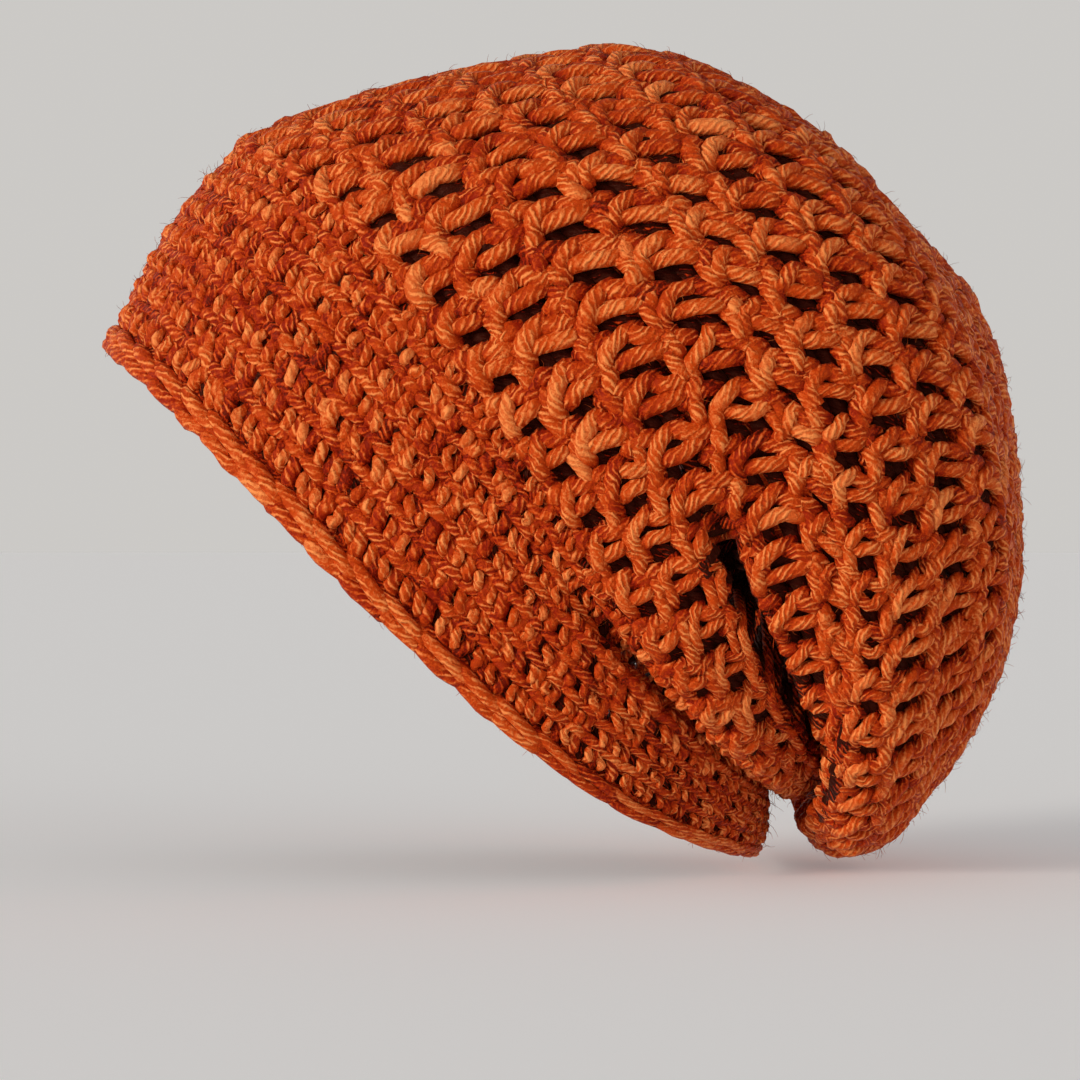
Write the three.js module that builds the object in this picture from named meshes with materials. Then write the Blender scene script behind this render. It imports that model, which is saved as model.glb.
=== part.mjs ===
// A crocheted slouch beanie: edging cord, close-stitched band, open-stitched bag and crown.
// Millimetres, +Z up. The wearer faces -Y and +X is the wearer's left.
// The origin is the middle of the rim opening, where the hat sits on a head.

import * as THREE from "three";

// Driving dimensions
const hatDepth = 285; // rim at the forehead to the back of the bag, along Y
const hatHeight = 250; // lowest hanging point to the top, along Z
const hatWidth = 206; // widest, over the ears, along X
const bandWall = 5.0; // thickness of the close-stitched band
const bagWall = 4.6; // thickness of the open-stitched fabric
const edgeCord = 6.2; // the chain stitch cord along the rim
const seamGap = 0.3; // clearance between neighbouring pieces
const fullness = 2.22; // exponent of the oval rounds, 2 for an ellipse
const easing = 0.7; // rounds to each side over which the inner face is eased

// Facets
const segments = 52; // round the hat
const cordSides = 8; // round the edging cord

// Rounds of stitches, counted from the rim
const bandTop = 8; // last round of the band
const crownStart = 20; // first round of the closing crown
const seamStep = 0.3; // from a seam to the facets beside it, at the least

// One row for each section of the hat. Each is an oval round of stitches that runs from the front
// or top of the hat to its back. Y places are shares of the hat's depth, Z places of its height and
// width of its width. The two sags are shares of its depth: how far the sides of the round lie
// nearer the rim than a flat oval would, ahead of the ears and behind them.
const columns = ["round", "frontY", "frontZ", "backY", "backZ", "width", "sag", "backSag"];
const sections = [
  [0, -0.355, 0.313, 0.354, -0.316, 0.408, -0.006, 0.09],
  [2, -0.322, 0.385, 0.366, -0.285, 0.427, -0.028, 0.078],
  [4, -0.291, 0.45, 0.367, -0.256, 0.444, -0.054, 0.062],
  [6, -0.246, 0.516, 0.37, -0.234, 0.459, -0.073, 0.055],
  [7, -0.222, 0.544, 0.377, -0.24, 0.465, -0.082, 0.052],
  [8, -0.197, 0.569, 0.397, -0.242, 0.471, -0.091, 0.049],
  [9, -0.124, 0.602, 0.424, -0.223, 0.485, -0.099, 0.059],
  [10, -0.048, 0.628, 0.43, -0.229, 0.495, -0.126, 0.035],
  [11, 0.032, 0.65, 0.432, -0.24, 0.5, -0.125, -0.043],
  [12, 0.112, 0.667, 0.397, -0.277, 0.5, -0.116, -0.117],
  [13, 0.193, 0.679, 0.444, -0.32, 0.495, -0.122, -0.077],
  [14, 0.272, 0.663, 0.494, -0.302, 0.476, -0.115, -0.059],
  [15, 0.346, 0.624, 0.525, -0.26, 0.442, -0.109, -0.065],
  [16, 0.414, 0.573, 0.55, -0.222, 0.393, -0.087, -0.094],
  [17, 0.471, 0.507, 0.572, -0.185, 0.34, -0.067, -0.074],
  [18, 0.531, 0.443, 0.594, -0.141, 0.281, -0.039, -0.043],
  [19, 0.58, 0.38, 0.61, -0.106, 0.223, -0.021, -0.021],
  [20, 0.61, 0.308, 0.622, -0.066, 0.165, -0.008, -0.008],
  [21, 0.623, 0.231, 0.632, -0.024, 0.107, -0.003, -0.003],
  [22, 0.634, 0.166, 0.64, 0.017, 0.053, 0, 0],
  [23, 0.645, 0.085, 0.645, 0.085, 0, 0, 0],
].map((row) => Object.fromEntries(columns.map((name, i) => [name, row[i]])));
const pole = sections.at(-1).round; // where the last round draws together

// Rounds at which the shells have facets, closest together in the folds
const facetRounds = [
  1, 2, 3, 4, 4.8, 5.4, 6, 6.6, 7.2, 8, 8.5, 9, 9.35, 9.6, 9.8, 10, 10.2, 10.4, 10.65, 11,
  11.5, 12, 12.5, 13, 13.5, 14, 15, 16, 17, 18, 19, 20, 21, 22,
];

// One row for each fold, a crease along a round where the slack fabric tucks in at the nape.
// Its spread is in rounds to each side, where the crease starts and at the back. It starts and
// reaches its full depth at shares of the way from the front to the back. Depth is a share of the
// hat's height, and rise says how much of it points up, not inward, at the back.
const folds = [
  { round: 5.8, spread: 1, backSpread: 1.6, depth: 0.016, start: 0.68, full: 0.84, rise: 0.6 },
  { round: 10, spread: 0.6, backSpread: 1, depth: 0.075, start: 0.62, full: 0.78, rise: 1 },
];

function smoothStep(from, to, value) {
  const share = Math.min(1, Math.max(0, (value - from) / (to - from)));
  return share * share * (3 - 2 * share);
}

// A smooth curve through the table's values that never overshoots them.
function slopeAt(key, i) {
  if (i === 0 || i === sections.length - 1) return 0;
  const [before, here, after] = [sections[i - 1], sections[i], sections[i + 1]];
  const left = here.round - before.round;
  const right = after.round - here.round;
  const leftSlope = (here[key] - before[key]) / left;
  const rightSlope = (after[key] - here[key]) / right;
  if (leftSlope * rightSlope <= 0) return 0;
  const middle = (leftSlope * right + rightSlope * left) / (left + right);
  const limit = 2 * Math.min(Math.abs(leftSlope), Math.abs(rightSlope));
  return Math.sign(leftSlope) * Math.min(limit, Math.abs(middle));
}

function sectionValue(key, round) {
  let i = 0;
  while (i < sections.length - 2 && round > sections[i + 1].round) i += 1;
  const [from, to] = [sections[i], sections[i + 1]];
  const length = to.round - from.round;
  const t = Math.min(1, Math.max(0, (round - from.round) / length));
  const endSlope = (from[key] - to[key]) / length;
  const startSlope = i === 0 ? -endSlope : slopeAt(key, i);
  const stopSlope = i === sections.length - 2 ? -endSlope : slopeAt(key, i + 1);
  const a = (1 + 2 * t) * (1 - t) * (1 - t) * from[key];
  const b = t * (1 - t) * (1 - t) * length * startSlope;
  const c = t * t * (3 - 2 * t) * to[key];
  const d = t * t * (t - 1) * length * stopSlope;
  return a + b + c + d;
}

// A point of the hat's outer face, with the round counted from the rim and the angle from the
// front over the wearer's left side to the back.
function outerPoint(round, angle) {
  const cos = Math.cos(angle);
  const sin = Math.sin(angle);
  const front = new THREE.Vector3(
    0, sectionValue("frontY", round) * hatDepth, sectionValue("frontZ", round) * hatHeight);
  const back = new THREE.Vector3(
    0, sectionValue("backY", round) * hatDepth, sectionValue("backZ", round) * hatHeight);
  const along = back.clone().sub(front);
  const power = 2 / fullness;
  const forward = -Math.sign(cos) * Math.abs(cos) ** power;
  const side = Math.sign(sin) * Math.abs(sin) ** power;
  const point = front.clone().addScaledVector(along, (1 + forward) / 2);
  point.x = side * sectionValue("width", round) * hatWidth;

  // Towards the rim, square to the line from front to back
  const rimward = new THREE.Vector3(0, along.z, -along.y);
  if (rimward.lengthSq() > 0) rimward.normalize();
  const way = (1 - cos) / 2;
  const sag = sectionValue("sag", round) * (1 - way) + sectionValue("backSag", round) * way;
  point.addScaledVector(rimward, sag * sin * sin * hatDepth);

  for (const fold of folds) {
    const spread = fold.spread + (fold.backSpread - fold.spread) * smoothStep(fold.start, 1, way);
    const away = Math.abs(round - fold.round) / spread;
    if (away >= 1) continue;
    const profile = Math.cos((away * Math.PI) / 2) ** 2;
    const depth = fold.depth * hatHeight * profile * smoothStep(fold.start, fold.full, way);
    const turn = smoothStep(fold.start, 1, way) * fold.rise;
    const level = Math.min(1, Math.abs(sin) * 2); // fades the inward part at the very back
    point.x -= Math.sign(sin) * depth * (1 - turn) * level;
    point.z += depth * turn;
  }
  return point;
}

const step = 1e-3; // of a round and of a radian, for directions
const nearPole = 0.05; // of a round, where the rounds still have a direction

function upTheHat(round, angle) {
  const low = Math.max(0, round - step);
  const high = Math.min(pole, round + step);
  return outerPoint(high, angle).sub(outerPoint(low, angle)).normalize();
}

function outward(round, angle) {
  const clear = Math.min(round, pole - nearPole);
  const around = outerPoint(clear, angle + step).sub(outerPoint(clear, angle - step));
  return around.cross(upTheHat(clear, angle)).normalize();
}

// The way through the wall, eased over the rounds beside it, so that the inner face
// stays whole where the outer one turns sharply into a fold.
function throughWall(round, angle) {
  const sum = new THREE.Vector3();
  for (const beside of [-2, -1, 0, 1, 2]) {
    const near = Math.min(pole, Math.max(0, round + (beside * easing) / 2));
    sum.addScaledVector(outward(near, angle), 1 / (1 + Math.abs(beside)));
  }
  return sum.normalize();
}

// A ring of outer and inner points. Shift moves it along the fabric, away from the rim.
function fabricRing(round, wall, shift = 0) {
  const outer = [];
  const inner = [];
  for (let k = 0; k < segments; k += 1) {
    const angle = (2 * Math.PI * k) / segments;
    const point = outerPoint(round, angle);
    if (shift !== 0) point.addScaledVector(upTheHat(round, angle), shift);
    outer.push(point);
    inner.push(point.clone().addScaledVector(throughWall(round, angle), -wall));
  }
  return { outer, inner };
}

// The facet rounds that lie clear of the seams at both ends.
function roundsBetween(from, to) {
  return facetRounds.filter((round) => round > from + seamStep && round < to - seamStep);
}

function meshOf(name, vertices, faces, material) {
  const geometry = new THREE.BufferGeometry();
  const positions = vertices.flatMap((v) => [v.x, v.y, v.z]);
  geometry.setAttribute("position", new THREE.Float32BufferAttribute(positions, 3));
  geometry.setIndex(faces.flat());
  geometry.computeVertexNormals();
  const mesh = new THREE.Mesh(geometry, material);
  mesh.name = name;
  return mesh;
}

// Joins rings of equal length with pairs of triangles.
function strip(faces, from, to, count, flipped) {
  for (let k = 0; k < count; k += 1) {
    const next = (k + 1) % count;
    const quad = [from + k, from + next, to + next, to + k];
    if (flipped) quad.reverse();
    faces.push([quad[0], quad[1], quad[2]], [quad[0], quad[2], quad[3]]);
  }
}

// A shell of fabric through its rings. A closed one ends in a point at the pole.
function fabricShell(name, rings, material, closed) {
  const vertices = rings.flatMap((ring) => [...ring.outer, ...ring.inner]);
  const faces = [];
  const outerStart = (i) => 2 * segments * i;
  const innerStart = (i) => outerStart(i) + segments;
  for (let i = 0; i < rings.length - 1; i += 1) {
    strip(faces, outerStart(i), outerStart(i + 1), segments, false);
    strip(faces, innerStart(i), innerStart(i + 1), segments, true);
  }
  const last = rings.length - 1;
  strip(faces, innerStart(0), outerStart(0), segments, false);
  if (!closed) {
    strip(faces, outerStart(last), innerStart(last), segments, false);
    return meshOf(name, vertices, faces, material);
  }
  const tip = outerPoint(pole, 0);
  const outerTip = vertices.push(tip) - 1;
  const innerTip = vertices.push(tip.clone().setY(tip.y - bagWall)) - 1;
  for (let k = 0; k < segments; k += 1) {
    const next = (k + 1) % segments;
    faces.push([outerStart(last) + k, outerStart(last) + next, outerTip]);
    faces.push([innerStart(last) + next, innerStart(last) + k, innerTip]);
  }
  return meshOf(name, vertices, faces, material);
}

// The edging cord follows the rim at the middle of the band's wall.
function rimEdge() {
  const radius = edgeCord / 2;
  const vertices = [];
  const faces = [];
  for (let k = 0; k < segments; k += 1) {
    const angle = (2 * Math.PI * k) / segments;
    const up = upTheHat(0, angle);
    const out = outward(0, angle);
    const centre = outerPoint(0, angle).addScaledVector(up, radius).addScaledVector(out, -bandWall / 2);
    for (let j = 0; j < cordSides; j += 1) {
      const turn = (2 * Math.PI * j) / cordSides;
      const rim = centre.clone().addScaledVector(up, radius * Math.cos(turn));
      vertices.push(rim.addScaledVector(out, radius * Math.sin(turn)));
    }
  }
  for (let k = 0; k < segments; k += 1) {
    const next = ((k + 1) % segments) * cordSides;
    for (let j = 0; j < cordSides; j += 1) {
      const side = (j + 1) % cordSides;
      const [a, b] = [k * cordSides + j, k * cordSides + side];
      const [c, d] = [next + side, next + j];
      faces.push([a, b, c], [a, c, d]);
    }
  }
  return meshOf("rim_edge", vertices, faces, yarn("#b4531f"));
}

function yarn(color) {
  return new THREE.MeshStandardMaterial({ color, roughness: 0.9, metalness: 0 });
}

// The band starts above the edging cord and ends half a gap below the bag.
function brimBand() {
  const lift = edgeCord + seamGap;
  const rings = [0, ...roundsBetween(0, bandTop), bandTop].map((round) => {
    const shift = lift * (1 - round / bandTop) - (seamGap / 2) * (round / bandTop);
    return fabricRing(round, bandWall, shift);
  });
  return fabricShell("brim_band", rings, yarn("#b24d1a"), false);
}

function slouchBag() {
  const rings = [
    fabricRing(bandTop, bagWall, seamGap / 2),
    ...roundsBetween(bandTop, crownStart).map((round) => fabricRing(round, bagWall)),
    fabricRing(crownStart, bagWall, -seamGap / 2),
  ];
  return fabricShell("slouch_bag", rings, yarn("#b6501b"), false);
}

function crown() {
  const rings = [
    fabricRing(crownStart, bagWall, seamGap / 2),
    ...roundsBetween(crownStart, pole).map((round) => fabricRing(round, bagWall)),
  ];
  return fabricShell("crown", rings, yarn("#b24e1c"), true);
}

const hat = new THREE.Group();
hat.add(rimEdge(), brimBand(), slouchBag(), crown());

export default hat;
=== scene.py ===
import math

import bpy
import numpy as np
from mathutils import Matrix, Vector


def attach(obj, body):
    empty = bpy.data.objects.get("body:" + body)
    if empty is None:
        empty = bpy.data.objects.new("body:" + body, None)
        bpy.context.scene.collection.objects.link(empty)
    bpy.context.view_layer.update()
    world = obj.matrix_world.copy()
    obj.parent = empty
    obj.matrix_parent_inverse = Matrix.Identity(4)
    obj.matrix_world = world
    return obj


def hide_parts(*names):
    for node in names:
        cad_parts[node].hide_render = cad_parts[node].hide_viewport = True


# The slouch beanie in real crochet stitches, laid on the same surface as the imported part.
# Metres, +Z up, the wearer faces -Y and +X is the wearer's left.

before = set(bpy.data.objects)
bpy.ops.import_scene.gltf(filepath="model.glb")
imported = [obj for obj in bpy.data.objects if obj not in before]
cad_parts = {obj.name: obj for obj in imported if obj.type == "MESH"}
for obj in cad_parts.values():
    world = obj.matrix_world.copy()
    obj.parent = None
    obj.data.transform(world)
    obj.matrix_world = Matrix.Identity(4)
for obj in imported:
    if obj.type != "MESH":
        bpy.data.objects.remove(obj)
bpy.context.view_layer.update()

# The hat's surface

HAT_DEPTH, HAT_HEIGHT, HAT_WIDTH = 0.285, 0.250, 0.206
FULLNESS = 2.22  # exponent of the oval rounds
POLE = 23  # the round where the crown draws together

# round, front Y, front Z, back Y, back Z, width, sag, back sag, as in the part's source
SECTIONS = np.array([
    (0, -0.355, 0.313, 0.354, -0.316, 0.408, -0.006, 0.09),
    (2, -0.322, 0.385, 0.366, -0.285, 0.427, -0.028, 0.078),
    (4, -0.291, 0.45, 0.367, -0.256, 0.444, -0.054, 0.062),
    (6, -0.246, 0.516, 0.37, -0.234, 0.459, -0.073, 0.055),
    (7, -0.222, 0.544, 0.377, -0.24, 0.465, -0.082, 0.052),
    (8, -0.197, 0.569, 0.397, -0.242, 0.471, -0.091, 0.049),
    (9, -0.124, 0.602, 0.424, -0.223, 0.485, -0.099, 0.059),
    (10, -0.048, 0.628, 0.43, -0.229, 0.495, -0.126, 0.035),
    (11, 0.032, 0.65, 0.432, -0.24, 0.5, -0.125, -0.043),
    (12, 0.112, 0.667, 0.397, -0.277, 0.5, -0.116, -0.117),
    (13, 0.193, 0.679, 0.444, -0.32, 0.495, -0.122, -0.077),
    (14, 0.272, 0.663, 0.494, -0.302, 0.476, -0.115, -0.059),
    (15, 0.346, 0.624, 0.525, -0.26, 0.442, -0.109, -0.065),
    (16, 0.414, 0.573, 0.55, -0.222, 0.393, -0.087, -0.094),
    (17, 0.471, 0.507, 0.572, -0.185, 0.34, -0.067, -0.074),
    (18, 0.531, 0.443, 0.594, -0.141, 0.281, -0.039, -0.043),
    (19, 0.58, 0.38, 0.61, -0.106, 0.223, -0.021, -0.021),
    (20, 0.61, 0.308, 0.622, -0.066, 0.165, -0.008, -0.008),
    (21, 0.623, 0.231, 0.632, -0.024, 0.107, -0.003, -0.003),
    (22, 0.634, 0.166, 0.64, 0.017, 0.053, 0, 0),
    (23, 0.645, 0.085, 0.645, 0.085, 0, 0, 0),
])
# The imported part's two folds, deeper here, and a swell above each, where the depth is below 0.
# Spread is in rounds, depth is a share of the hat's height, and rise is the share of the depth that
# goes upward at the back. Start and full say how far back a fold begins and is whole. Pull draws
# the fabric beside it together.
FOLDS = [
    dict(round=5.9, spread=1.0, back_spread=1.4, depth=0.05, start=0.6, full=0.8, rise=0.6, pull=0.5),
    dict(round=8, spread=1.6, back_spread=1.6, depth=-0.022, start=0.6, full=0.8, rise=0.2, pull=0),
    dict(round=10.22, spread=0.36, back_spread=0.7, depth=0.14, start=0.61, full=0.7, rise=1.0, pull=0.2),
    dict(round=11.4, spread=1.2, back_spread=1.6, depth=-0.015, start=0.6, full=0.8, rise=0.2, pull=0),
]
PAINTED_SHADE_DEPTH = 0.1  # a fold deeper than this gets painted shade inside
PAINTED_FOLD_SHADE = 0.75  # the painted shade taken off the tone at a fold's deepest place, on the side that faces out of the hat
SIDE_RISE = 2  # how fast a fold grows sideways, away from the hat's middle line
PULL_END = 2.2  # rounds from a fold to where the fabric lies as it would without it
ROUNDS = SECTIONS[:, 0]
SHARES = SECTIONS[:, 1:]
TINY = 1e-12  # the least length that anything is divided by


def smooth_step(start, stop, value):
    """0 up to start, 1 from stop on, and a smooth rise between them."""
    share = np.clip((value - start) / (stop - start), 0, 1)
    return share * share * (3 - 2 * share)


def section_slopes():
    """The slope of each column at each row, so that the curve never overshoots the table."""
    chord = np.diff(SHARES, axis=0) / np.diff(ROUNDS)[:, None]
    slopes = np.zeros_like(SHARES)
    slopes[0], slopes[-1] = chord[0], chord[-1]
    for i in range(1, len(ROUNDS) - 1):
        left, right = ROUNDS[i] - ROUNDS[i - 1], ROUNDS[i + 1] - ROUNDS[i]
        a, b = chord[i - 1], chord[i]
        middle = (a * right + b * left) / (left + right)
        limit = 2 * np.minimum(abs(a), abs(b))
        slopes[i] = np.where(a * b <= 0, 0, np.sign(a) * np.minimum(limit, abs(middle)))
    return slopes


SLOPES = section_slopes()


def section_values(rounds):
    """The columns of the table at any round, on a smooth curve through its rows."""
    rounds = np.clip(rounds, 0, POLE)
    i = np.clip(np.searchsorted(ROUNDS, rounds, side="right") - 1, 0, len(ROUNDS) - 2)
    length = (ROUNDS[i + 1] - ROUNDS[i])[..., None]
    t = (rounds - ROUNDS[i])[..., None] / length
    return (
        (1 + 2 * t) * (1 - t) ** 2 * SHARES[i]
        + t * (1 - t) ** 2 * length * SLOPES[i]
        + t * t * (3 - 2 * t) * SHARES[i + 1]
        + t * t * (t - 1) * length * SLOPES[i + 1]
    )


def fold_place(fold, rounds, way):
    """How far out of a fold's middle a place lies, how full the fold is there, how far back."""
    behind = smooth_step(fold["start"], 1, way)
    spread = fold["spread"] + (fold["back_spread"] - fold["spread"]) * behind
    away = np.minimum(abs(rounds - fold["round"]) / spread, 1)
    return away, smooth_step(fold["start"], fold["full"], way), behind


def outer_point(rounds, angles):
    """Points of the outer face. The angle runs from the front over the wearer's left to the back."""
    rounds, angles = np.broadcast_arrays(np.asarray(rounds, float), np.asarray(angles, float))
    cos, sin = np.cos(angles), np.sin(angles)
    way = (1 - cos) / 2
    pulled = rounds
    for fold in FOLDS:
        side = rounds - fold["round"]
        rise = np.minimum(abs(side) / fold["spread"], 1)
        fade = 1 - smooth_step(fold["spread"], PULL_END, abs(side))
        reach = smooth_step(fold["start"], fold["full"], way)
        pulled = pulled - np.sign(side) * fold["pull"] * rise * fade * reach
    value = section_values(pulled)
    zero = np.zeros_like(cos)
    front = np.stack([zero, value[..., 0] * HAT_DEPTH, value[..., 1] * HAT_HEIGHT], -1)
    back = np.stack([zero, value[..., 2] * HAT_DEPTH, value[..., 3] * HAT_HEIGHT], -1)
    along = back - front
    power = 2 / FULLNESS
    forward = -np.sign(cos) * abs(cos) ** power
    point = front + along * ((1 + forward) / 2)[..., None]
    point[..., 0] = np.sign(sin) * abs(sin) ** power * value[..., 4] * HAT_WIDTH
    rimward = np.stack([zero, along[..., 2], -along[..., 1]], -1)
    rimward /= np.maximum(np.linalg.norm(rimward, axis=-1, keepdims=True), TINY)
    sag = value[..., 5] * (1 - way) + value[..., 6] * way
    point += rimward * (sag * sin * sin * HAT_DEPTH)[..., None]
    for fold in FOLDS:
        away, reach, behind = fold_place(fold, rounds, way)
        depth = fold["depth"] * HAT_HEIGHT * np.cos(away * np.pi / 2) ** 2 * reach
        turn = behind * fold["rise"]
        point[..., 0] -= np.sign(sin) * depth * (1 - turn) * np.minimum(1, abs(sin) * SIDE_RISE)
        point[..., 2] += depth * turn
    return point


def painted_fold_shade(rounds, angles):
    """How deep in a fold a place lies, from 0 to 1, which sets the painted shade there."""
    way = (1 - np.cos(angles)) / 2
    shade = np.zeros(np.broadcast(rounds, angles).shape)
    for fold in FOLDS:
        if fold["depth"] > PAINTED_SHADE_DEPTH:
            away, reach, _ = fold_place(fold, rounds, way)
            shade = np.maximum(shade, np.cos(away ** 2 * np.pi / 2) * reach)
    return shade


STEP = 1e-3  # of a round and of a radian, for directions
NEAR_POLE = 0.05  # of a round, where the rounds still have a direction


def outward(rounds, angles):
    """The direction out of the fabric at each place."""
    rounds = np.clip(rounds, STEP, POLE - NEAR_POLE)
    around = outer_point(rounds, angles + STEP) - outer_point(rounds, angles - STEP)
    up = outer_point(rounds + STEP, angles) - outer_point(rounds - STEP, angles)
    normal = np.cross(around, up)
    return normal / np.maximum(np.linalg.norm(normal, axis=-1, keepdims=True), TINY)


# Rows of stitches

MM = 0.001
PLY_GAP = 0.0017  # from one ridge of the yarn to the next
PLY_ANGLE = math.radians(44)  # between the ridges and the yarn
EDGE_PLY_ANGLE = math.radians(25)
ROUGH = 0.035  # how uneven the yarn is, as a share of its radius
PHASE_RANGE = 40  # plies, so that no two strands look alike
END_BULGE = 0.5  # of the radius, past each end of a strand
RING_SAMPLES = 1441  # places along a round where its length is measured

FIBRE_RADIUS = 0.00007
FIBRE_SIDES = 3
FIBRE_REACH = (0.002, 0.005)  # along the surface
FIBRE_RISE = (0.0003, 0.0013)  # out of the yarn
FIBRE_LEAN = 1.1  # radians to either side of straight out
FIBRE_CURL = 0.3  # of its reach
# The fibres' tone is that of the outermost yarn, which gets the most painted light
FIBRE_TONE, FIBRE_TONE_JITTER = 0.62, 0.15
FIBRE_TAPER = np.array([1, 1, 0.8, 0.4])
# A fibre's points: shares of the yarn's radius, and of the fibre's rise, reach and curl
FIBRE_POINTS = [(0.8, 0, 0, 0), (1, 0.6, 0.35, 0), (1, 1, 0.7, 0.5), (1, 0.8, 1, 1)]

# Each strand of a stitch is a run of control points in its cell. Along is the share of a stitch
# towards the back of the hat, up is the share of the row away from the rim, and lift is in
# millimetres from the outer face.
TALL_STITCH = [
    dict(name="front", radius=2.25, steps=11, sides=7, path=[
        (0.20, 0.72, -4.8), (0.28, 0.56, -2.8), (0.41, 0.37, -1.8), (0.61, 0.19, -1.6),
        (0.83, 0.10, -2.1), (1.02, 0.08, -3.4), (1.15, 0.12, -5.0)]),
    dict(name="leg", radius=2.2, steps=10, sides=7, path=[
        (0.80, 0.12, -4.8), (0.77, 0.28, -2.9), (0.73, 0.54, -1.9), (0.70, 0.80, -2.2),
        (0.64, 1.0, -4.4)]),
    dict(name="arch", radius=2.15, steps=9, sides=7, path=[
        (-0.30, 0.86, -4.8), (-0.17, 0.92, -2.9), (0.08, 0.95, -1.9), (0.32, 0.91, -2.3),
        (0.48, 0.83, -4.2)]),
    dict(name="upper", radius=2.65, steps=8, sides=6, path=[
        (0.33, 0.46, -4.6), (0.36, 0.60, -3.2), (0.42, 0.78, -2.7), (0.46, 0.96, -3.1),
        (0.47, 1.10, -4.6)]),
    dict(name="lower", radius=2.65, steps=7, sides=6, path=[
        (0.31, 0.34, -4.8), (0.29, 0.18, -3.2), (0.32, 0.02, -2.7), (0.39, -0.12, -3.2),
        (0.46, -0.20, -4.6)]),
    dict(name="chain", radius=2.25, steps=8, sides=7, path=[
        (0.40, 1.02, -4.2), (0.52, 1.07, -2.8), (0.72, 1.05, -2.3), (0.90, 0.98, -2.8),
        (1.02, 0.90, -4.6)]),
    dict(name="back_post", radius=3.3, steps=5, sides=6, path=[
        (0.52, 1.06, -5.6), (0.54, 0.7, -6.2), (0.52, 0.35, -6.2), (0.50, -0.06, -5.6)]),
    dict(name="back_bar", radius=3.1, steps=5, sides=6, path=[
        (-0.48, 0.18, -6.2), (-0.16, 0.26, -7.1), (0.16, 0.32, -7.1), (0.48, 0.38, -6.2)]),
    dict(name="back_bar_above", radius=3.1, steps=5, sides=6, path=[
        (-0.48, 0.52, -6.2), (-0.16, 0.60, -7.1), (0.16, 0.66, -7.1), (0.48, 0.74, -6.2)]),
]
SHORT_STITCH = [
    dict(name="first", radius=1.6, steps=8, sides=7, path=[
        (0.15, 0.82, -4.4), (0.18, 0.70, -2.4), (0.21, 0.53, -1.2), (0.24, 0.36, -1.6),
        (0.27, 0.17, -4.0)]),
    dict(name="second", radius=1.6, steps=8, sides=7, path=[
        (0.51, 0.84, -4.4), (0.54, 0.72, -2.5), (0.57, 0.55, -1.2), (0.61, 0.38, -1.6),
        (0.65, 0.18, -4.0)]),
    dict(name="bar", radius=2.3, steps=9, sides=7, path=[
        (-0.22, 0.88, -4.8), (-0.06, 0.98, -3.4), (0.16, 1.05, -2.9), (0.40, 1.05, -3.1),
        (0.56, 0.95, -4.4)]),
    dict(name="second_bar", radius=2.3, steps=8, sides=7, path=[
        (0.34, 0.88, -4.8), (0.50, 0.99, -3.5), (0.70, 1.03, -3.0), (0.90, 0.96, -3.5),
        (1.02, 0.86, -4.6)]),
    dict(name="between", radius=2.5, steps=6, sides=7, path=[
        (0.84, 0.98, -4.0), (0.83, 0.70, -3.2), (0.84, 0.36, -3.2), (0.87, 0.04, -4.0)]),
    dict(name="middle", radius=2.5, steps=5, sides=6, path=[
        (0.40, 0.98, -4.0), (0.39, 0.66, -3.3), (0.41, 0.34, -3.3), (0.45, 0.02, -4.0)]),
    dict(name="back_left", radius=2.95, steps=5, sides=6, path=[
        (0.06, 1.04, -5.2), (0.08, 0.7, -5.7), (0.10, 0.35, -5.7), (0.12, -0.04, -5.2)]),
    dict(name="back_right", radius=2.95, steps=5, sides=6, path=[
        (0.56, 1.04, -5.2), (0.58, 0.7, -5.7), (0.60, 0.35, -5.7), (0.62, -0.04, -5.2)]),
]
EDGE_STITCH = [
    dict(name="outer", radius=2.2, steps=10, sides=8, path=[
        (-0.30, 0.56, -4.2), (-0.10, 0.57, -2.4), (0.26, 0.53, -1.6), (0.66, 0.46, -1.6),
        (1.02, 0.40, -2.2), (1.30, 0.36, -4.0)]),
    dict(name="under", radius=2.3, steps=10, sides=8, path=[
        (-0.34, 0.24, -4.6), (-0.12, 0.16, -3.0), (0.26, 0.12, -2.2), (0.66, 0.12, -2.3),
        (1.02, 0.17, -3.0), (1.28, 0.26, -4.4)]),
    dict(name="inner", radius=2.1, steps=8, sides=6, path=[
        (-0.18, 0.34, -4.2), (0.15, 0.28, -5.0), (0.6, 0.32, -5.2), (1.1, 0.40, -4.4)]),
]

# How far the points of a strand stray from their places, in the units of the paths above
JITTER = np.array([0.035, 0.035, 0.3])
BAND_JITTER = np.array([0.045, 0.05, 0.35])
SIZE_JITTER = 0.04  # of a strand's radius, from stitch to stitch
# The limits of a strand's thickness beside its row's, where the row is squeezed or drawn out
SIZE_RANGE, BACK_SIZE_RANGE = (0.6, 1.1), (0.75, 1.4)
END_SIZE = 0.72  # of the radius, at a strand's hidden ends
TAPER_SHARE, TAPER_POWER = 0.22, 0.7  # of a strand's length, and how the radius grows there
FUZZ_SHARE = 0.21  # fibres for each step of a strand that shows

# Tones run from 0, in deep shade, to 1, in full light: painted light and shade, with random differences
# between stitches
STITCH_TONE, TONE_JITTER = 0.48, 0.09
MIDDLE_LIFT = -2.4  # millimetres from the outer face, where the painted recess shade changes no tone
RECESS_SHADE, RECESS_SHADE_RANGE = 0.18, (-0.4, 0.14)  # painted light further out and painted shade deeper in: tone for each millimetre further out, and its limits
LEAST_TONE = 0.2  # of a strand that shows, outside the folds
BACK_SHADE = -0.1  # painted shade added on the strands at the back of the fabric, which show in the holes
# Painted light added on the side of a strand that faces out of the hat, and painted shade on the other
FRONT_FACING_SHADE, BAG_BACK_FACING_SHADE, BAND_BACK_FACING_SHADE = 0.10, -0.4, -0.1

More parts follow.
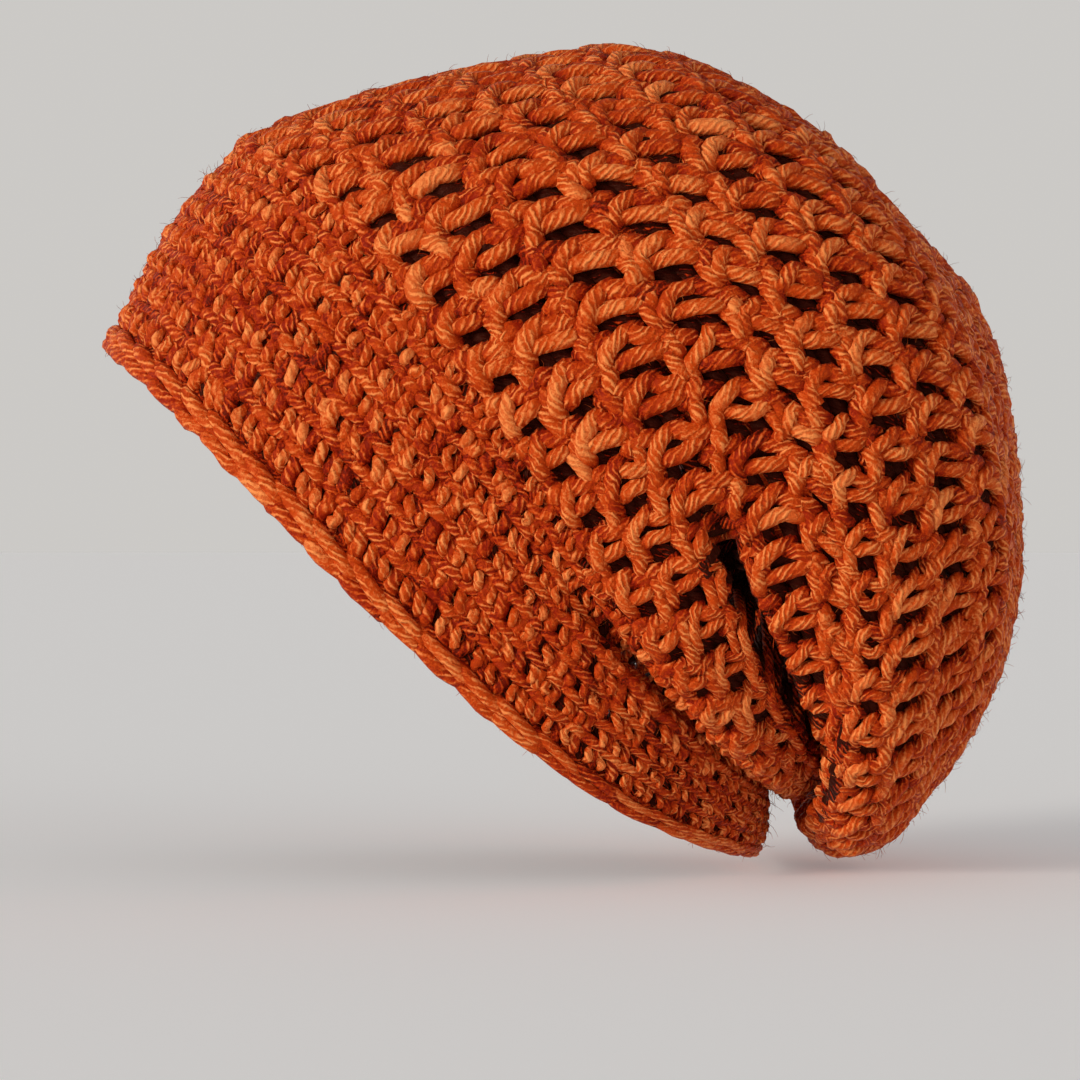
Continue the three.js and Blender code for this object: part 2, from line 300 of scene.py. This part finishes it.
EDGE_TOP, BAND_TOP = 0.68, 7.55  # rounds
EDGE_COUNT = 46
EDGE_SAMPLE = 0.4  # the round along which the edge's stitches are spaced out
BAND_ROWS = 7
BAND_SPLIT = 4  # rows in the lower of the band's two meshes
BAND_COUNT = 48
BAND_SHIFT = 0.5  # stitches, where the bag starts
BAND_DRIFT = 0.15  # stitches less for each row below that
HOLE_UP = 0.45  # where a tall stitch's hole lies in its row, which is at a whole round

# round, number of stitches, shift of the first hole from the front in stitches, yarn thickness
TALL_ROWS = [
    (8, 48, 0.50, 1.16), (9, 47, 0.35, 1.2), (10, 46, 0.47, 1.2), (11, 46, 0.21, 1.16),
    (12, 46, 0.38, 1.1), (13, 49, 0.02, 1.05), (14, 50, 0.43, 1.0), (15, 49, 0.43, 1.0),
    (16, 43, 0.08, 1.0), (17, 37, 0.45, 1.0), (18, 31, 0.85, 1.0), (19, 25, 0.3, 1.0),
    (20, 19, 0.6, 1.0), (21, 13, 0.1, 1.0), (22, 7, 0.4, 0.95),
]
# name, first round and last round of each of the bag's meshes
BAG_PARTS = [("lower", 8, 10), ("middle", 11, 13), ("upper", 14, 15), ("back", 16, 19)]
CROWN_START = 20

# Strands that run right round inside the fabric: lift and radius in millimetres
EDGE_CORE, BAND_CORE, BAG_CORE = (-3.4, 1.8), (-4.0, 2.1), (-4.8, 2.7)
EDGE_CORE_ROUND, EDGE_CORE_WAVES = 0.34, 56
# The cores' tone is painted shade, darker as they lie deep in the fabric
CORE_STEPS, CORE_SIDES, CORE_SHADED_TONE = 240, 6, 0.3
CORE_WAVE = 0.04  # rounds to either side of its own
# round, lift and radius in millimetres of the rings that close the middle of the crown
CENTRE_RINGS = [(22.35, -2.6, 2.3), (22.7, -3.4, 2.3), (22.9, -4.4, 2.2)]
CENTRE_WAVES = 3

rng = np.random.default_rng(19)


def spline_weights(count, steps):
    """Weights that turn a run of control points into a smooth line through them."""
    t = np.linspace(0, count - 1, steps)
    i = np.minimum(t.astype(int), count - 2)
    f = t - i
    weights = np.zeros((steps, count + 2))
    basis = [
        (-f + 2 * f**2 - f**3) / 2,
        (2 - 5 * f**2 + 3 * f**3) / 2,
        (f + 4 * f**2 - 3 * f**3) / 2,
        (-(f**2) + f**3) / 2,
    ]
    for k, values in enumerate(basis):
        weights[np.arange(steps), i + k] += values
    # the points before the first and after the last mirror their neighbours
    weights[:, 1] += 2 * weights[:, 0]
    weights[:, 2] -= weights[:, 0]
    weights[:, -2] += 2 * weights[:, -1]
    weights[:, -3] -= weights[:, -1]
    return weights[:, 1:-1]


def angle_finder(round_at):
    """Turns a share of the way round the hat, by length, into an angle."""
    angles = np.linspace(0, 2 * np.pi, RING_SAMPLES)
    points = outer_point(round_at, angles)
    length = np.concatenate([[0], np.cumsum(np.linalg.norm(np.diff(points, axis=0), axis=1))])
    share = length / length[-1]
    return lambda value: np.interp(value % 1.0, share, angles)


def row_of(low, high, count, shift, sample):
    """A row between two rounds. Its stitches are spaced out along the round called sample."""
    return dict(low=low, high=high, count=count, shift=shift, angle=angle_finder(sample))


def row_stretch(row):
    """How high each stitch of a row is, beside the row's usual height."""
    angles = row["angle"]((np.arange(row["count"]) + row["shift"] + 0.5) / row["count"])
    rise = outer_point(row["high"], angles) - outer_point(row["low"], angles)
    height = np.linalg.norm(rise, axis=-1)
    return (height / np.median(height))[:, None]


def lay_strand(strand, row, jitter, thick):
    """The strand's line in every stitch of a row, with the normal, lift and painted fold shade there."""
    control = np.array(strand["path"])
    count = row["count"]
    wobble = rng.normal(0, 1, (count, len(control), 3)) * jitter
    cells = control[None] + wobble
    line = np.einsum("sc,ncd->nsd", spline_weights(len(control), strand["steps"]), cells)
    share = (np.arange(count)[:, None] + row["shift"] + line[..., 0]) / count
    angles = row["angle"](share)
    rounds = row["low"] + line[..., 1] * (row["high"] - row["low"])
    normal = outward(rounds, angles)
    lift = line[..., 2] * MM * np.minimum(thick, 1)
    shade = painted_fold_shade(rounds, angles)
    return outer_point(rounds, angles) + normal * lift[..., None], normal, line[..., 2], shade


def taper(steps):
    """The radius along a strand, a little thinner at its hidden ends."""
    s = np.linspace(0, 1, steps)
    grown = np.minimum(1, np.minimum(s, 1 - s) / TAPER_SHARE) ** TAPER_POWER
    return END_SIZE + (1 - END_SIZE) * grown


def strand_directions(lines, normals, closed):
    """Along each strand, and the two directions across it, the first one out of the fabric."""
    if closed:
        tangent = np.roll(lines, -1, 1) - np.roll(lines, 1, 1)
    else:
        tangent = np.gradient(lines, axis=1)
    tangent /= np.linalg.norm(tangent, axis=-1, keepdims=True)
    first = normals - tangent * (normals * tangent).sum(-1, keepdims=True)
    first /= np.linalg.norm(first, axis=-1, keepdims=True)
    return tangent, first, np.cross(tangent, first)


class Yarn:
    """Gathers tubes of yarn and makes one mesh of them."""

    def __init__(self, ply_angle=PLY_ANGLE):
        self.ply_angle = ply_angle
        self.points, self.faces, self.uvs, self.tones, self.total = [], [], [], [], 0

    def add(self, lines, normals, radius, sides, tone, closed=False, facing=0.0):
        """Adds a tube along each line.

        lines and normals are (strands, steps, 3), and radius is in metres for each step. The facing
        value paints light on the side of the yarn that faces outward and shade on the other.
        """
        strands, steps = lines.shape[:2]
        tangent, first, second = strand_directions(lines, normals, closed)
        turn = np.linspace(np.pi, 3 * np.pi, sides, endpoint=False)
        ring = (
            np.cos(turn)[None, None, :, None] * first[:, :, None]
            + np.sin(turn)[None, None, :, None] * second[:, :, None]
        )
        sizes = np.broadcast_to(radius, (strands, steps))
        rough = 1 + rng.normal(0, ROUGH, (strands, steps, sides, 1))
        rough *= sizes[..., None, None]
        points = (lines[:, :, None] + ring * rough).reshape(strands, -1, 3)
        tones = np.repeat(np.broadcast_to(tone, (strands, steps)), sides, 1)
        facing = np.repeat(np.broadcast_to(facing, (strands, steps)), sides, 1)
        # painted light on the outward side of the yarn, painted shade on the inward side
        tones = tones + facing * np.tile(np.cos(turn), steps)

        gaps = np.linalg.norm(np.diff(lines, axis=1), axis=-1)
        length = np.concatenate([np.zeros((strands, 1)), np.cumsum(gaps, 1)], 1)
        phase = rng.random((strands, 1)) * PHASE_RANGE
        girth = 2 * math.pi * float(np.mean(radius))
        plies = max(1, round(girth * math.cos(self.ply_angle) / PLY_GAP))
        turn_length = girth / math.tan(self.ply_angle) / plies
        along = length / turn_length + phase

        if closed:
            whole = length[:, -1:] + np.linalg.norm(lines[:, 0] - lines[:, -1], axis=-1)[:, None]
            self.add_sides(points.shape[1], steps, sides, plies, along, whole / turn_length + phase)
        else:
            bulge = sizes[..., None] * END_BULGE
            low_tip = lines[:, 0] - tangent[:, 0] * bulge[:, 0]
            high_tip = lines[:, -1] + tangent[:, -1] * bulge[:, -1]
            points = np.concatenate([points, low_tip[:, None], high_tip[:, None]], 1)
            tones = np.concatenate([tones, tones[:, :1], tones[:, :1]], 1)
            self.add_sides(points.shape[1], steps, sides, plies, along)
            self.add_ends(points.shape[1], steps, sides, plies, along)
        self.points.append(points.reshape(-1, 3))
        self.tones.append(tones.ravel())
        self.total += strands * points.shape[1]

    def add_sides(self, per, steps, sides, plies, along, closing=None):
        """The squares round every strand. closing is how far along a closed strand ends."""
        runs = steps - 1 if closing is None else steps
        i = np.repeat(np.arange(runs), sides)
        j = np.tile(np.arange(sides), runs)
        n = (i + 1) % steps
        k = (j + 1) % sides
        quads = np.stack([i * sides + j, i * sides + k, n * sides + k, n * sides + j], 1)
        across = np.stack([j, j + 1, j + 1, j], 1) / sides * plies
        along_next = along[:, n]
        if closing is not None:
            along_next = np.where(n == 0, closing, along_next)
        up = np.stack([along[:, i], along[:, i], along_next, along_next], -1)
        self.add_faces(per, quads, across, up)

    def add_ends(self, per, steps, sides, plies, along):
        """The triangles that close both ends of every strand."""
        j = np.arange(sides)
        k = (j + 1) % sides
        tip = steps * sides
        top = tip - sides
        low = np.stack([np.full(sides, tip), k, j], 1)
        high = np.stack([np.full(sides, tip + 1), top + j, top + k], 1)
        low_across = np.stack([j + 0.5, j + 1, j], 1)
        high_across = np.stack([j + 0.5, j, j + 1], 1)
        across = np.concatenate([low_across, high_across]) / sides * plies
        ends = np.repeat(np.stack([along[:, 0], along[:, -1]], 1), sides, 1)
        self.add_faces(per, np.concatenate([low, high]), across, np.repeat(ends[..., None], 3, -1))

    def add_faces(self, per, corners, across, along):
        """One strand's faces for every strand, each per points further on, with UVs in plies."""
        strands, _, size = along.shape
        start = self.total + np.arange(strands)[:, None, None] * per
        self.faces.append((size, (corners[None] + start).reshape(-1, size)))
        uv = np.stack([np.broadcast_to(across, along.shape), along], -1)
        self.uvs.append(uv.reshape(-1, 2))

    def add_fuzz(self, lines, normals, radius, share):
        """Loose fibres that stand up from a share of the places along these strands."""
        strands, steps = lines.shape[:2]
        count = int(strands * (steps - 3) * share)
        i = rng.integers(0, strands, count)
        j = rng.integers(1, steps - 2, count)
        tangent = lines[i, j + 1] - lines[i, j]
        tangent /= np.linalg.norm(tangent, axis=-1, keepdims=True)
        normal = normals[i, j]
        side = np.cross(tangent, normal)
        side /= np.linalg.norm(side, axis=-1, keepdims=True)
        lean = rng.uniform(-FIBRE_LEAN, FIBRE_LEAN, (count, 1))
        out = normal * np.cos(lean) + side * np.sin(lean)
        across = side * np.cos(lean) - normal * np.sin(lean)
        size = np.broadcast_to(radius, (strands, steps))[i, j][:, None]
        start = lines[i, j] + (lines[i, j + 1] - lines[i, j]) * rng.random((count, 1))
        way = tangent * rng.normal(0, 1, (count, 1)) + across * rng.normal(0, 1, (count, 1))
        way /= np.linalg.norm(way, axis=-1, keepdims=True)
        reach = rng.uniform(*FIBRE_REACH, (count, 1))
        rise = rng.uniform(*FIBRE_RISE, (count, 1))
        curl = np.cross(out, way) * rng.normal(0, FIBRE_CURL, (count, 1)) * reach
        line = np.stack([
            start + out * (size * root + rise * up) + way * reach * on + curl * aside
            for root, up, on, aside in FIBRE_POINTS
        ], 1)
        tone = rng.normal(FIBRE_TONE, FIBRE_TONE_JITTER, (count, 1))
        outs = np.repeat(out[:, None], len(FIBRE_POINTS), 1)
        self.add(line, outs, FIBRE_RADIUS * FIBRE_TAPER, FIBRE_SIDES, tone)

    def make(self, name, node, slot):
        """One object of all the tubes, which replaces a node. Returns its number of triangles."""
        mesh = bpy.data.meshes.new(name)
        points = np.concatenate(self.points)
        corners = np.concatenate([f.ravel() for _, f in self.faces])
        totals = np.concatenate([np.full(len(f), size) for size, f in self.faces])
        starts = np.concatenate([[0], np.cumsum(totals)[:-1]])
        mesh.vertices.add(len(points))
        mesh.vertices.foreach_set("co", points.ravel().astype(np.float32))
        mesh.loops.add(len(corners))
        mesh.loops.foreach_set("vertex_index", corners.astype(np.int32))
        mesh.polygons.add(len(totals))
        mesh.polygons.foreach_set("loop_start", starts.astype(np.int32))
        mesh.polygons.foreach_set("loop_total", totals.astype(np.int32))
        mesh.polygons.foreach_set("use_smooth", np.ones(len(totals), bool))
        mesh.update(calc_edges=True)
        uv = mesh.uv_layers.new(name="yarn")
        uv.data.foreach_set("uv", np.concatenate(self.uvs).ravel().astype(np.float32))
        tone = mesh.attributes.new("tone", "FLOAT", "POINT")
        tone.data.foreach_set("value", np.concatenate(self.tones).astype(np.float32))
        mesh.materials.append(FINISHES[slot])
        piece = bpy.data.objects.new(name, mesh)
        bpy.context.scene.collection.objects.link(piece)
        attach(piece, "root")
        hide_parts(node)
        count = int((totals - 2).sum())
        print("piece", name, "triangles", count)
        return count


def add_stitches(yarn, stitch, row, jitter, back_facing_shade, loosen=1.0):
    """Every strand of every stitch in a row. loosen thickens the yarn."""
    stretch = row_stretch(row)
    for strand in stitch:
        hidden = strand["name"].startswith("back")
        thick = np.clip(stretch, *(BACK_SIZE_RANGE if hidden else SIZE_RANGE))
        lines, normals, lift, shade = lay_strand(strand, row, jitter, thick)
        radius = strand["radius"] * MM * loosen * taper(strand["steps"])
        size = radius[None] * (1 + rng.normal(0, SIZE_JITTER, (row["count"], 1))) * thick
        tone = STITCH_TONE + rng.normal(0, TONE_JITTER, (row["count"], 1))
        # painted shade deeper in the fabric and painted light further out
        tone = tone + np.clip((lift - MIDDLE_LIFT) * RECESS_SHADE, *RECESS_SHADE_RANGE)
        # painted shade of the folds, off the tone and off the facing, so that a fold is painted dark on
        # its outer side alone
        painted_fold_dark = PAINTED_FOLD_SHADE / 2 * shade
        if hidden:
            # the back strands get painted shade, so that the holes look dark
            tone = tone + BACK_SHADE - painted_fold_dark
            yarn.add(lines, normals, size, strand["sides"], tone, facing=back_facing_shade - painted_fold_dark)
        else:
            tone = np.maximum(tone, LEAST_TONE) - painted_fold_dark
            yarn.add(lines, normals, size, strand["sides"], tone, facing=FRONT_FACING_SHADE - painted_fold_dark)
            yarn.add_fuzz(lines, normals, size, FUZZ_SHARE)


def add_core(yarn, round_at, lift, radius, waves):
    """A strand right round the hat inside the fabric, where the tops of the stitches join."""
    angles = np.linspace(0, 2 * np.pi, CORE_STEPS, endpoint=False)
    rounds = round_at + CORE_WAVE * np.sin(angles * waves)
    normal = outward(rounds, angles)
    points = outer_point(rounds, angles) + normal * lift * MM
    sizes = np.full(CORE_STEPS, radius * MM)
    yarn.add(points[None], normal[None], sizes, CORE_SIDES, CORE_SHADED_TONE, closed=True)


# The yarn's material

# The yarn's colour in painted shade, its own colour, and in painted light and highlight; the darkest stop
# is painted shade for the holes and folds
SHADED_YARN, BODY, LIT_YARN = (0.28, 0.009, 0.0006), (0.57, 0.058, 0.003), (0.92, 0.27, 0.07)
DARKEST_SHADED_YARN = tuple(0.1 * channel for channel in SHADED_YARN)
YARN_STOPS = [(0.0, DARKEST_SHADED_YARN), (0.18, SHADED_YARN), (0.5, BODY), (1.0, LIT_YARN)]  # tone and colour

# Noises: scale, detail, distortion
DRIFT_NOISE = (260, 2, 0.0)  # bends the ridges of the plies
CLEAR_NOISE = (230, 2, 0.0)  # says where the fibres hide them
FIBRE_NOISE = (1.0, 3, 0.0)
SPECK_NOISE = (650, 4, 1.6)
PATCH_NOISE = (70, 3, 0.0)

PLY_DRIFT = 1.3  # plies
CLEAR_GAIN, CLEAR_OFFSET, LEAST_CLEAR = 2.4, -0.45, 0.25
RIDGE_POWER = 2.0
FIBRES_ACROSS, FIBRES_ALONG = 2.6, 0.55  # for each ply, so that the fibres are drawn out
# the ridges' term paints highlights on the plies and shade in their grooves; fibres, specks and patches
# are random colour
RIDGE_HIGHLIGHT, FIBRE_SHADE, SPECK_SHADE, PATCH_SHADE = 0.65, 0.8, 1.1, 0.4
MIDDLE_SHADE, DARKEST_SHADE = 1.35, -0.24  # taken off the sum of the four, and its limit
FIBRE_BUMP, SPECK_BUMP = 0.5, 1.2  # beside the plies'
PLY_DEPTH = 0.00038

YARN_SURFACE = {
    "Roughness": 0.55,
    "Specular IOR Level": 0.18,
    "Specular Tint": (1.0, 0.5, 0.3, 1),
    "Sheen Weight": 0.05,
    "Sheen Roughness": 0.45,
    "Sheen Tint": (1.0, 0.45, 0.2, 1),
}


def set_sockets(shader, values):
    for socket, value in values.items():
        shader.inputs[socket].default_value = value


def fill_ramp(node, stops):
    """Gives a colour ramp its stops, which are rows of place and colour in order."""
    elements = node.color_ramp.elements
    for k, (place, color) in ((0, stops[0]), (1, stops[-1])):
        elements[k].position = place
        elements[k].color = (*color, 1)
    for place, color in stops[1:-1]:
        elements.new(place).color = (*color, 1)


def yarn_material(name):
    material = bpy.data.materials.new(name)
    material.use_nodes = True
    nodes, links = material.node_tree.nodes, material.node_tree.links
    shader = nodes["Principled BSDF"]

    def math_node(kind, a, b=None):
        node = nodes.new("ShaderNodeMath")
        node.operation = kind
        for socket, value in zip(node.inputs, (a, b)):
            if value is None:
                continue
            if isinstance(value, (int, float)):
                socket.default_value = value
            else:
                links.new(value, socket)
        return node.outputs[0]

    def add_up(first, *others):
        total = first
        for value, weight in others:
            total = math_node("ADD", total, math_node("MULTIPLY", value, weight))
        return total

    def noise(kind, coordinates):
        scale, detail, distortion = kind
        node = nodes.new("ShaderNodeTexNoise")
        node.inputs["Scale"].default_value = scale
        node.inputs["Detail"].default_value = detail
        node.inputs["Distortion"].default_value = distortion
        links.new(coordinates, node.inputs["Vector"])
        return node.outputs["Fac"]

    place = nodes.new("ShaderNodeTexCoord").outputs["Object"]
    uv = nodes.new("ShaderNodeUVMap")
    uv.uv_map = "yarn"
    split = nodes.new("ShaderNodeSeparateXYZ")
    links.new(uv.outputs["UV"], split.inputs[0])
    # The ridges of the plies run round the yarn as they run along it
    phase = math_node("ADD", split.outputs["X"], split.outputs["Y"])
    phase = add_up(phase, (noise(DRIFT_NOISE, place), PLY_DRIFT))
    wave = math_node("COSINE", math_node("MULTIPLY", phase, 2 * math.pi))
    wave = math_node("MULTIPLY", math_node("ADD", wave, 1.0), 0.5)
    # In places the fibres hide the plies
    clear = math_node("MULTIPLY", noise(CLEAR_NOISE, place), CLEAR_GAIN)
    clear = math_node("MAXIMUM", math_node("ADD", clear, CLEAR_OFFSET), LEAST_CLEAR)
    wave = math_node("MULTIPLY", wave, math_node("MINIMUM", clear, 1.0))
    # a narrow painted highlight on each ridge of the plies
    ridge_highlight = math_node("POWER", wave, RIDGE_POWER)
    # Fine fibres are drawn out along the plies
    drawn = nodes.new("ShaderNodeCombineXYZ")
    links.new(math_node("MULTIPLY", phase, FIBRES_ACROSS), drawn.inputs["X"])
    links.new(math_node("MULTIPLY", split.outputs["Y"], FIBRES_ALONG), drawn.inputs["Y"])
    fibre = noise(FIBRE_NOISE, drawn.outputs[0])
    speck = noise(SPECK_NOISE, place)
    patch = noise(PATCH_NOISE, place)

    tone = nodes.new("ShaderNodeAttribute")
    tone.attribute_name = "tone"
    shade = add_up(math_node("MULTIPLY", ridge_highlight, RIDGE_HIGHLIGHT), (fibre, FIBRE_SHADE),
                   (speck, SPECK_SHADE), (patch, PATCH_SHADE))
    shade = math_node("MAXIMUM", math_node("SUBTRACT", shade, MIDDLE_SHADE), DARKEST_SHADE)
    ramp = nodes.new("ShaderNodeValToRGB")
    fill_ramp(ramp, YARN_STOPS)
    links.new(math_node("ADD", tone.outputs["Fac"], shade), ramp.inputs["Fac"])
    links.new(ramp.outputs["Color"], shader.inputs["Base Color"])

    bump = nodes.new("ShaderNodeBump")
    bump.inputs["Strength"].default_value = 1.0
    bump.inputs["Distance"].default_value = PLY_DEPTH
    links.new(add_up(wave, (fibre, FIBRE_BUMP), (speck, SPECK_BUMP)), bump.inputs["Height"])
    links.new(bump.outputs["Normal"], shader.inputs["Normal"])
    set_sockets(shader, YARN_SURFACE)
    return material


SLOTS = ("edge_yarn", "band_yarn", "bag_yarn", "crown_yarn")
FINISHES = {slot: yarn_material(slot + "_finish") for slot in SLOTS}


# The pieces

def make_edge():
    yarn = Yarn(EDGE_PLY_ANGLE)
    row = row_of(0, 1, EDGE_COUNT, 0.0, EDGE_SAMPLE)
    add_stitches(yarn, EDGE_STITCH, row, JITTER, BAND_BACK_FACING_SHADE)
    add_core(yarn, EDGE_CORE_ROUND, *EDGE_CORE, EDGE_CORE_WAVES)
    return yarn.make("edge_stitches", "rim_edge", "edge_yarn")


def make_band(part, rows):
    yarn = Yarn()
    height = (BAND_TOP - EDGE_TOP) / BAND_ROWS
    for k in rows:
        low = EDGE_TOP + k * height
        shift = BAND_SHIFT + BAND_DRIFT * (k - BAND_ROWS)
        row = row_of(low, low + height, BAND_COUNT, shift, low + height / 2)
        add_stitches(yarn, SHORT_STITCH, row, BAND_JITTER, BAND_BACK_FACING_SHADE)
        add_core(yarn, low, *BAND_CORE, BAND_COUNT)
    return yarn.make("band_stitches_" + part, "brim_band", "band_yarn")


def add_tall_rows(yarn, first, last):
    for middle, count, shift, thickness in TALL_ROWS:
        if first <= middle <= last:
            low = middle - HOLE_UP
            row = row_of(low, middle + 1 - HOLE_UP, count, shift, middle)
            add_stitches(yarn, TALL_STITCH, row, JITTER, BAG_BACK_FACING_SHADE, thickness)
            add_core(yarn, low, *BAG_CORE, count)


def make_bag(part, first, last):
    yarn = Yarn()
    add_tall_rows(yarn, first, last)
    return yarn.make("bag_stitches_" + part, "slouch_bag", "bag_yarn")


def make_crown():
    yarn = Yarn()
    add_tall_rows(yarn, CROWN_START, POLE)
    for round_at, lift, radius in CENTRE_RINGS:
        add_core(yarn, round_at, lift, radius, CENTRE_WAVES)
    return yarn.make("crown_stitches", "crown", "crown_yarn")


triangles = make_edge()
triangles += make_band("lower", range(0, BAND_SPLIT))
triangles += make_band("upper", range(BAND_SPLIT, BAND_ROWS))
for bag_part in BAG_PARTS:
    triangles += make_bag(*bag_part)
triangles += make_crown()
print("triangles in all", triangles)

# Floor, light and camera

PIXEL = 0.00031  # metres for each pixel of the photograph, at the middle of the hat
PICTURE = 1080  # pixels across the photograph
SENSOR = 36  # millimetres across the camera's sensor
CAMERA_AWAY = 1.2
AIM = (0.0336, 0.0181)  # Y and Z of the middle of the picture

FLOOR = -0.083
FLOOR_RADIUS, FLOOR_SIDES = 30, 96
FLOOR_SURFACE = {
    "Base Color": (0.80, 0.785, 0.77, 1),
    "Emission Color": (1, 1, 1, 1),
    "Emission Strength": 0.18,  # keeps the floor pale under a low light
    "Roughness": 0.9,
    "Specular IOR Level": 0.0,
}
BACKDROP, OVERHEAD = (0.60, 0.585, 0.565), (0.24, 0.245, 0.26)
BACKDROP_TOP, OVERHEAD_FROM = 0.35, 0.75  # heights on a globe of radius one

# name, place, degrees across, strength, colour
LIGHTS = [
    ("key", (0.85, -1.35, 0.32), 22, 2.4, (1.0, 0.96, 0.9)),
    ("fill", (1.2, 1.3, 0.35), 50, 0.35, (1.0, 0.97, 0.94)),
]

scene = bpy.context.scene


def make_floor():
    """A wide round floor. Its far edge meets a backdrop of the same pale tone."""
    points, faces = [(0, 0, FLOOR)], []
    for k in range(FLOOR_SIDES):
        turn = 2 * math.pi * k / FLOOR_SIDES
        points.append((FLOOR_RADIUS * math.cos(turn), FLOOR_RADIUS * math.sin(turn), FLOOR))
        faces.append((0, 1 + k, 1 + (k + 1) % FLOOR_SIDES))
    mesh = bpy.data.meshes.new("floor")
    mesh.from_pydata(points, [], faces)
    floor = bpy.data.objects.new("floor", mesh)
    scene.collection.objects.link(floor)
    material = bpy.data.materials.new("floor_finish")
    material.use_nodes = True
    set_sockets(material.node_tree.nodes["Principled BSDF"], FLOOR_SURFACE)
    mesh.materials.append(material)


def make_world():
    """Soft light from all sides: pale near the horizon, dimmer overhead."""
    world = bpy.data.worlds.new("studio")
    scene.world = world
    world.use_nodes = True
    nodes, links = world.node_tree.nodes, world.node_tree.links
    place = nodes.new("ShaderNodeTexCoord")
    split = nodes.new("ShaderNodeSeparateXYZ")
    links.new(place.outputs["Generated"], split.inputs[0])
    ramp = nodes.new("ShaderNodeValToRGB")
    ramp.color_ramp.interpolation = "EASE"
    fill_ramp(ramp, [(BACKDROP_TOP, BACKDROP), (OVERHEAD_FROM, OVERHEAD)])
    links.new(split.outputs["Z"], ramp.inputs["Fac"])
    links.new(ramp.outputs["Color"], nodes["Background"].inputs["Color"])
    nodes["Background"].inputs["Strength"].default_value = 1.0


def add_light(name, place, across, strength, color):
    """A soft light far away on the side of place, and as many degrees across as given."""
    data = bpy.data.lights.new(name, "SUN")
    data.angle = math.radians(across)
    data.energy = strength
    data.color = color
    light = bpy.data.objects.new(name, data)
    light.location = place
    light.rotation_euler = (-Vector(place)).to_track_quat("-Z", "Y").to_euler()
    scene.collection.objects.link(light)


def add_camera():
    """Looks along -X, level, from the wearer's left, as the photograph does."""
    data = bpy.data.cameras.new("camera")
    data.sensor_width = SENSOR
    data.lens = SENSOR * CAMERA_AWAY / (PICTURE * PIXEL)
    camera = bpy.data.objects.new("camera", data)
    camera.location = (CAMERA_AWAY, *AIM)
    camera.rotation_euler = (math.pi / 2, 0, math.pi / 2)
    scene.collection.objects.link(camera)
    scene.camera = camera


make_floor()
for light_row in LIGHTS:
    add_light(*light_row)
make_world()
scene.view_settings.view_transform = "Standard"
add_camera()
